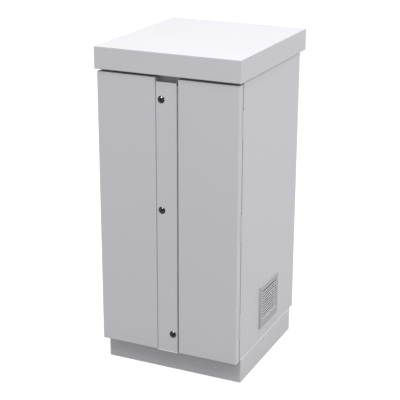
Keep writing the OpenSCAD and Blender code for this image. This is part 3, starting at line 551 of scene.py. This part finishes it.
def threadedRod(board, width, length, pitch):  # hangs below zero
    core = board.add("GeometryNodeMeshCylinder", {}, {"Vertices": rod["faces"], "Depth": length,
                                                      "Radius": width * rod["coreShare"]})
    coil = board.add("GeometryNodeCurveSpiral", {},
                     {"Resolution": rod["stepsOfTurn"], "Rotations": length / pitch - rod["plainTurns"],
                      "Start Radius": width * rod["coreShare"], "End Radius": width * rod["coreShare"],
                      "Height": length - pitch * rod["plainTurns"]})
    ridge = swept(board, coil, ringOf(board, rod["ridgeSides"], width * rod["ridgeShare"]))
    ridgeFoot = length * -1 + pitch * (rod["plainTurns"] / 2)
    return [moved(board, core, length * -0.5), moved(board, ridge, ridgeFoot)]


def onPoints(board, given, shapes):
    joined = board.add("GeometryNodeJoinGeometry", {}, {"Geometry": shapes})
    return board.add("GeometryNodeInstanceOnPoints", {}, {"Points": given("Geometry"), "Instance": joined,
                                                          "Rotation": given("Turn")})


def buildBolt(board, given):
    head = hexBlock(board, given("Width"), given("Height"), False)
    shank = threadedRod(board, given("Thread"), given("Length"), given("Pitch"))
    return onPoints(board, given, [head] + shank)


def buildStud(board, given):
    return onPoints(board, given, threadedRod(board, given("Thread"), given("Length"), given("Pitch")))


def buildNut(board, given):
    block = hexBlock(board, given("Width"), given("Height"), True)
    drill = board.add("GeometryNodeMeshCylinder", {}, {"Vertices": hexagon["boreFaces"],
                                                       "Radius": given("Thread") * 0.5,
                                                       "Depth": given("Height") * hexagon["drillShare"]})
    return onPoints(board, given, [cut(board, "DIFFERENCE", {"Mesh 1": block, "Mesh 2": drill})])


sizeInputs = {"Width": "Float", "Height": "Float", "Thread": "Float", "Length": "Float", "Pitch": "Float",
              "Turn": "Vector"}
fastenerTrees = {"bolt": makeTree("bolts", sizeInputs, buildBolt),
                 "stud": makeTree("studs", sizeInputs, buildStud),
                 "nut": makeTree("nuts", sizeInputs, buildNut)}

# threads in millimetres, and the way each head points; the rest follows the solids
fasteners = {
    "plinthBolts": {"node": "plinth_bolts", "kind": "bolt", "thread": 10, "pitch": 1.5, "points": "+Z"},
    "plinthNuts": {"node": "plinth_nuts", "kind": "nut", "thread": 10, "points": "+Z"},
    "glandScrews": {"node": "gland_screws", "kind": "bolt", "thread": 6, "pitch": 1.0, "points": "+Z"},
    "roofStuds": {"node": "roof_studs", "kind": "stud", "thread": 8, "pitch": 1.25, "points": "+Z"},
    "roofNuts": {"node": "roof_nuts", "kind": "nut", "thread": 8, "points": "+Z"},
    "ventScrews": {"node": "vent_screws", "kind": "bolt", "thread": 4, "pitch": 0.7, "points": "-X"},
    "plateStuds": {"node": "plate_studs", "kind": "stud", "thread": 8, "pitch": 1.25, "points": "-Y"},
    "plateNuts": {"node": "plate_nuts", "kind": "nut", "thread": 8, "points": "-Y"},
    "earthStud": {"node": "earth_stud", "kind": "bolt", "thread": 8, "pitch": 1.25, "points": "-Z"},
    "earthNuts": {"node": "earth_nuts", "kind": "nut", "thread": 8, "points": "+Z"},
    "lockNuts": {"node": "lock_nuts", "kind": "nut", "thread": 14, "points": "+Y"}}
for level in ("lower", "middle", "upper"):
    fasteners[level + "CamScrew"] = {"node": level + "_lock_screw", "kind": "bolt", "thread": 4, "pitch": 0.7,
                                     "points": "+Y", "headShare": 0.7}
turns = {"+Z": (0, 0, 0), "-Z": (math.pi, 0, 0), "-X": (0, -math.pi / 2, 0), "+Y": (-math.pi / 2, 0, 0),
         "-Y": (math.pi / 2, 0, 0)}
usualHeadShare = 0.8  # head height against the thread


def makeFastener(name, piece):
    axis, sign = "XYZ".index(piece["points"][1]), 1 if piece["points"][0] == "+" else -1
    isNut = piece["kind"] == "nut"
    thread = piece["thread"] * mm
    boxes = solidsOf(piece["node"])
    size = boxes[0][1] - boxes[0][0]
    head = thread * piece.get("headShare", usualHeadShare) if piece["kind"] == "bolt" else 0
    seats = []
    for low, high in boxes:
        seat = (low + high) / 2
        top, foot = (high[axis], low[axis]) if sign > 0 else (low[axis], high[axis])
        seat[axis] = foot if isNut else top - sign * head
        seats.append(seat)
    flats = min(size[i] for i in range(3) if i != axis)
    sizes = {"Width": flats, "Height": size[axis] if isNut else head, "Thread": thread,
             "Length": size[axis] - head, "Turn": turns[piece["points"]]}
    if "pitch" in piece:
        sizes["Pitch"] = piece["pitch"] * mm
    slot = slotOf[piece["node"]]
    obj = bake(name, fastenerTrees[piece["kind"]], seats, sizes, slot)
    fitted(obj, bodyOf[piece["node"]], slot, piece["node"])


for name, piece in fasteners.items():
    makeFastener(name, piece)
print("fasteners made:", len(fasteners))

poleGap = 0.001 * mm  # points of a turned shape nearer than this are one


# turned shapes, one of them copied to each place
def turned(name, outline, steps):  # outline of radius and height, closed, round Z
    form = bmesh.new()
    angles = [2 * math.pi * i / steps for i in range(steps)]
    rings = []
    for radius, height in outline:
        spots = [(radius * math.cos(t) * mm, radius * math.sin(t) * mm, height * mm) for t in angles]
        rings.append([form.verts.new(spot) for spot in spots])
    for ring, after in zip(rings, rings[1:] + rings[:1]):
        for i in range(steps):
            j = (i + 1) % steps
            form.faces.new((ring[i], ring[j], after[j], after[i]))
    bmesh.ops.remove_doubles(form, verts=form.verts, dist=poleGap)
    bmesh.ops.recalc_face_normals(form, faces=form.faces)
    mesh = bpy.data.meshes.new(name)
    form.to_mesh(mesh)
    form.free()
    return newObject(name, mesh)


def buildCopies(board, given):
    shape = board.add("GeometryNodeObjectInfo", {}, {"Object": given("Shape")}, "Geometry")
    return onPoints(board, given, [shape])


copiesTree = makeTree("copies", {"Shape": "Object", "Turn": "Vector"}, buildCopies)


def copies(name, shape, seats, turn, slot):
    obj = bake(name, copiesTree, seats, {"Shape": shape, "Turn": turn}, slot)
    bpy.data.objects.remove(shape)
    return obj


# radii and lengths in millimetres; the thread's crest runs between two shares of its pitch
lockHousing = {"flange": 14.5, "rim": 0.5, "dome": 5.5, "bore": 5.05, "chamfer": 0.5, "body": 7.0,
               "threadFrom": 2.2, "threadDepth": 0.45, "pitch": 1.0, "crest": (0.4, 0.6), "domeSteps": 14,
               "faces": 64}


def lockThread(lock, length):
    points = []
    for i in range(int((length - lock["threadFrom"]) / lock["pitch"])):
        foot = -length + i * lock["pitch"]
        points += [(lock["body"], foot + share * lock["pitch"]) for share in lock["crest"]]
        points.append((lock["body"] - lock["threadDepth"], foot + lock["pitch"]))
    return points


def lockDome(lock):  # from the rim in to the bore
    radius = (lock["flange"] ** 2 + lock["dome"] ** 2) / (2 * lock["dome"])
    inner, outer = lock["bore"] + lock["chamfer"], lock["flange"] - lock["rim"]
    reaches = [outer + (inner - outer) * i / lock["domeSteps"] for i in range(lock["domeSteps"] + 1)]
    return [(reach, math.sqrt(radius ** 2 - reach ** 2) - radius + lock["dome"]) for reach in reaches]


def makeLocks(lock):
    boxes = solidsOf("lock_housings")
    length = (boxes[0][1].y - stripFace) / mm
    outline = [(lock["bore"], -length), (lock["body"] - lock["threadDepth"], -length)]
    outline += lockThread(lock, length)
    outline += [(lock["body"], -lock["threadFrom"]), (lock["body"], 0), (lock["flange"], 0)]
    outline += lockDome(lock)
    outline.append((lock["bore"], outline[-1][1] - lock["chamfer"]))
    seats = [Vector(((low.x + high.x) / 2, stripFace, (low.z + high.z) / 2)) for low, high in boxes]
    shape = turned("lockShape", outline, lock["faces"])
    obj = copies("lockHousings", shape, seats, turns["-Y"], "lock_black")
    glossy = bpy.data.collections.new("glossyLocks")
    glossy.objects.link(obj)
    bpy.data.objects["glint"].light_linking.receiver_collection = glossy
    fitted(obj, bodyOf["lock_housings"], "lock_black", "lock_housings")


makeLocks(lockHousing)

# radii, and heights of the bulb and neck above the tail, in millimetres
rivet = {"head": 4.0, "crown": 1.0, "shank": 2.0, "bulb": 2.6, "tailShare": 0.7, "bulbFrom": 0.4,
         "bulbTo": 0.9, "neck": 1.0, "crownSteps": 6, "faces": 32}


def makeRivets(sizes):
    boxes = solidsOf("strip_rivets")
    head, crown, shank, bulb = (sizes[part] for part in ("head", "crown", "shank", "bulb"))
    depth = (boxes[0][1].x - boxes[0][0].x) / mm - crown
    outline = [(0.0, -depth), (bulb * sizes["tailShare"], -depth), (bulb, sizes["bulbFrom"] - depth),
               (bulb, sizes["bulbTo"] - depth), (shank, sizes["neck"] - depth), (shank, 0)]
    arc = [math.radians(90 * i / sizes["crownSteps"]) for i in range(sizes["crownSteps"])]
    outline += [(head * math.cos(t), crown * math.sin(t)) for t in arc] + [(0.0, crown)]
    seats = [Vector((low.x + crown * mm, (low.y + high.y) / 2, (low.z + high.z) / 2)) for low, high in boxes]
    shape = turned("rivetShape", outline, sizes["faces"])
    obj = copies("stripRivets", shape, seats, turns["-X"], "zinc_plate")
    fitted(obj, bodyOf["strip_rivets"], "zinc_plate", "strip_rivets")


makeRivets(rivet)
print("turned pieces made")

# rubber seals, a domed section along each run; widths and corner radii in millimetres
seals = {"leftDoorSeal": {"node": "left_door_seal", "width": 9, "corner": 6},
         "rightDoorSeal": {"node": "right_door_seal", "width": 9, "corner": 6},
         "stripSeal": {"node": "strip_seal", "width": 6, "corner": 0}}
sealSteps = {"corner": 8, "section": 32}


def buildSeal(board, given):
    run = board.add("GeometryNodeMeshToCurve", {}, {"Mesh": given("Geometry")})
    run = facing(board, rounded(board, run, sealSteps["corner"], given("Corner")), (0, 1, 0))
    spot = board.add("ShaderNodeSeparateXYZ", {}, {0: board.add("GeometryNodeInputPosition")})
    domed = board.xyz(spot.most(0.0) * given("Height"), spot.output("Y") * given("Width") * 0.5)
    section = board.add("GeometryNodeSetPosition", {}, {"Geometry": ringOf(board, sealSteps["section"], 1.0),
                                                        "Position": domed})
    return swept(board, run, section)


sealTree = makeTree("seals", {"Width": "Float", "Height": "Float", "Corner": "Float"}, buildSeal)


def makeSeal(name, seal):
    low, high = (Vector(corner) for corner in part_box(seal["node"]))
    half = seal["width"] / 2 * mm
    if seal["corner"]:
        corners = [(low.x + half, low.z + half), (high.x - half, low.z + half),
                   (high.x - half, high.z - half), (low.x + half, high.z - half)]
        edges = [(0, 1), (1, 2), (2, 3), (3, 0)]
    else:
        corners = [((low.x + high.x) / 2, low.z), ((low.x + high.x) / 2, high.z)]
        edges = [(0, 1)]
    path = bpy.data.meshes.new(name)
    path.from_pydata([(x, low.y, z) for x, z in corners], edges, [])
    sizes = {"Width": seal["width"] * mm, "Height": high.y - low.y, "Corner": seal["corner"] * mm}
    obj = bake(name, sealTree, path, sizes, "seal_rubber")
    fitted(obj, bodyOf[seal["node"]], "seal_rubber", seal["node"])


for name, seal in seals.items():
    makeSeal(name, seal)
print("seals made:", len(seals))

# vent grille, a moulded frame with sloping slats; millimetres and degrees, shift along Y and lift along Z
grille = {"opening": (142, 121), "shift": 2.0, "lift": 4.9, "bevel": 0.9, "edge": 0.7, "edgeSteps": 3,
          "slats": 11, "slope": 37, "slatThickness": 2.2, "slatRound": 0.5, "roundSteps": 4,
          "slatShare": 0.72, "tuck": 2.0}


def buildSlats(board, given):
    run = facing(board, straightRun(board, given("Length")), (0, 0, 1))
    blade = board.add("GeometryNodeCurvePrimitiveQuadrilateral", {}, {"Width": given("Thickness"),
                                                                      "Height": given("Depth")})
    slat = swept(board, run, rounded(board, blade, grille["roundSteps"], given("Round")))
    # marks the slats for their painted highlight
    slat = board.add("GeometryNodeStoreNamedAttribute", {}, {"Geometry": slat, "Name": "sunny", "Value": 1.0})
    steps = board.add("GeometryNodeMeshLine", {"mode": "OFFSET"},
                      {"Count": given("Count"), "Start Location": given("First"),
                       "Offset": board.xyz(z=given("Pitch"))})
    rows = board.add("GeometryNodeInstanceOnPoints", {}, {"Points": steps, "Instance": slat,
                                                          "Rotation": given("Turn")})
    return board.add("GeometryNodeJoinGeometry", {}, {"Geometry": [given("Geometry"), rows]})


slatInputs = {"Length": "Float", "Depth": "Float", "Thickness": "Float", "Round": "Float", "Count": "Int",
              "Pitch": "Float", "First": "Vector", "Turn": "Vector"}
slatTree = makeTree("slats", slatInputs, buildSlats)


def grilleFrame(low, high, shifted):
    middle = (low + high) / 2
    outY, outZ = (high.y - low.y) / 2, (high.z - low.z) / 2
    inY, inZ = (size / 2 * mm for size in grille["opening"])
    bevel = grille["bevel"] * mm
    form = bmesh.new()
    loops = []
    for x, about, y, z in ((low.x, middle, outY, outZ), (high.x, middle, outY - bevel, outZ - bevel),
                           (high.x, shifted, inY, inZ), (low.x, shifted, inY, inZ)):
        loops.append([form.verts.new((x, about.y + sideY * y, about.z + sideZ * z))
                      for sideY, sideZ in ((-1, -1), (1, -1), (1, 1), (-1, 1))])
    for loop, after in zip(loops, loops[1:] + loops[:1]):
        for i in range(4):
            j = (i + 1) % 4
            form.faces.new((loop[i], loop[j], after[j], after[i]))
    bmesh.ops.recalc_face_normals(form, faces=form.faces)
    inFront = [edge for edge in form.edges if max(vert.co.x for vert in edge.verts) > low.x + 0.5 * bevel]
    bmesh.ops.bevel(form, geom=inFront, offset=grille["edge"] * mm, segments=grille["edgeSteps"], profile=0.5,
                    affect="EDGES", clamp_overlap=True)
    mesh = bpy.data.meshes.new("ventGrille")
    form.to_mesh(mesh)
    form.free()
    return mesh


def makeGrille():
    low, high = (Vector(corner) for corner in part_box("vent_grille"))
    shifted = (low + high) / 2 + Vector((0, grille["shift"], grille["lift"])) * mm
    slope = math.radians(grille["slope"])
    wide, tall = (size * mm for size in grille["opening"])
    deep = (high.x - low.x) * grille["slatShare"]
    blade = grille["slatThickness"] * math.cos(slope) * mm
    first = Vector((high.x - deep / 2, shifted.y, shifted.z - tall / 2 + grille["slatThickness"] / 2 * mm))
    sizes = {"Length": wide + 2 * grille["tuck"] * mm, "Thickness": blade,
             "Depth": (deep - blade * math.sin(slope)) / math.cos(slope),
             "Round": grille["slatRound"] * mm, "Count": grille["slats"], "Pitch": tall / grille["slats"],
             "First": first, "Turn": (0, slope, 0)}
    obj = bake("ventGrille", slatTree, grilleFrame(low, high, shifted), sizes, "grille_plastic")
    fitted(obj, bodyOf["vent_grille"], "grille_plastic", "vent_grille")


makeGrille()

# filter mat, a rough slab with loose strands; millimetres, strands to a square metre, and lean in radians
mat = {"shrink": 2.8, "lumps": 1.0, "lumpNoise": (260.0, 3.0), "grid": (4, 54, 48), "strands": 60000.0,
       "strandLength": 9.0, "strandWidth": 0.16, "strandSteps": 5, "strandSides": 3, "lean": 0.16, "seed": 7,
       "sharp": 60}


def buildStrand(board, given):  # bowed, along Y
    run = board.add("GeometryNodeResampleCurve", {}, {"Curve": straightRun(board, given("Strand")),
                                                      "Count": mat["strandSteps"]})
    place = board.add("ShaderNodeSeparateXYZ", {}, {0: board.add("GeometryNodeInputPosition")})
    bow = board.xyz(z=place.output("Y") * place.output("Y") / given("Strand"))
    run = board.add("GeometryNodeSetPosition", {}, {"Geometry": run, "Offset": bow})
    return swept(board, run, ringOf(board, mat["strandSides"], given("Width")), False)


def buildMat(board, given):
    countX, countY, countZ = mat["grid"]
    slab = board.add("GeometryNodeMeshCube", {}, {"Size": given("Size"), "Vertices X": countX,
                                                  "Vertices Y": countY, "Vertices Z": countZ})
    lump = board.noise(board.add("GeometryNodeInputPosition"), *mat["lumpNoise"]).output("Color")
    push = board.add("ShaderNodeVectorMath", {"operation": "SUBTRACT"}, {0: lump, 1: (noiseMiddle,) * 3})
    push = board.add("ShaderNodeVectorMath", {"operation": "SCALE"}, {0: push, "Scale": given("Lumps")})
    slab = board.add("GeometryNodeSetPosition", {}, {"Geometry": slab, "Offset": push})
    spots = board.add("GeometryNodeDistributePointsOnFaces", {}, {"Mesh": slab, "Density": mat["strands"],
                                                                  "Seed": mat["seed"]})
    most = Vector((math.pi, mat["lean"], mat["lean"]))
    spin = board.add("FunctionNodeRandomValue", {"data_type": "FLOAT_VECTOR"},
                     {0: -most, 1: most, "Seed": mat["seed"]})
    strands = board.add("GeometryNodeInstanceOnPoints", {},
                        {"Points": spots, "Instance": buildStrand(board, given), "Rotation": spin})
    both = board.add("GeometryNodeJoinGeometry", {}, {"Geometry": [slab, strands]})
    return board.add("GeometryNodeTransform", {}, {"Geometry": both, "Translation": given("Middle")})


matInputs = {"Size": "Vector", "Middle": "Vector", "Lumps": "Float", "Strand": "Float", "Width": "Float"}
matTree = makeTree("filterMat", matInputs, buildMat)


def makeMat():
    low, high = (Vector(corner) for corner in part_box("vent_filter"))
    size = high - low - Vector((mat["shrink"], mat["strandLength"], mat["strandLength"])) * mm
    sizes = {"Size": size, "Middle": (low + high) / 2, "Lumps": mat["lumps"] * mm,
             "Strand": mat["strandLength"] * mm, "Width": mat["strandWidth"] * mm}
    obj = bake("filterMat", matTree, [(0, 0, 0)], sizes, "filter_mat", mat["sharp"])
    fitted(obj, bodyOf["vent_filter"], "filter_mat", "vent_filter")


makeMat()
print("vent made")

# stitch welds along the hinge leaves, rows of flattened beads of unequal size; lengths in millimetres
weld = {"bead": 2.2, "segments": 10, "rings": 6, "smallest": 0.88, "largest": 1.08, "seed": 3,
        "stretch": 0.55, "step": 1.3, "stitch": 16.0, "inset": 5.0, "seatShare": 0.9, "proud": 0.2,
        "sharp": 50}


def buildWeld(board, given):
    ball = board.add("GeometryNodeMeshUVSphere", {}, {"Segments": weld["segments"], "Rings": weld["rings"],
                                                      "Radius": given("Bead")})
    size = board.add("FunctionNodeRandomValue", {"data_type": "FLOAT"},
                     {2: weld["smallest"], 3: weld["largest"], "Seed": weld["seed"]}, 1)
    return board.add("GeometryNodeInstanceOnPoints", {}, {"Points": given("Geometry"), "Instance": ball,
                                                          "Scale": board.xyz(size, size, weld["stretch"])})


weldTree = makeTree("welds", {"Bead": "Float"}, buildWeld)


def makeWelds(name, node, front):
    spots = []
    for low, high in solidsOf(node):
        side = 1 if low.x > 0 else -1
        leaf = (low.x if side > 0 else high.x) + side * weld["bead"] * mm * weld["seatShare"]
        y = low.y - weld["proud"] * mm if front else high.y + weld["proud"] * mm
        for start in (low.z + weld["inset"] * mm, high.z - (weld["inset"] + weld["stitch"]) * mm):
            for i in range(int(weld["stitch"] / weld["step"]) + 1):
                spots.append((leaf, y, start + i * weld["step"] * mm))
    obj = bake(name, weldTree, spots, {"Bead": weld["bead"] * mm}, "cabinet_paint", weld["sharp"])
    fitted(obj, bodyOf[node], "cabinet_paint")


for side in ("left", "right"):
    makeWelds(side + "FrameWelds", side + "_hinge_frame_halves", False)
    makeWelds(side + "DoorWelds", side + "_hinge_door_halves", True)
print("welds made")
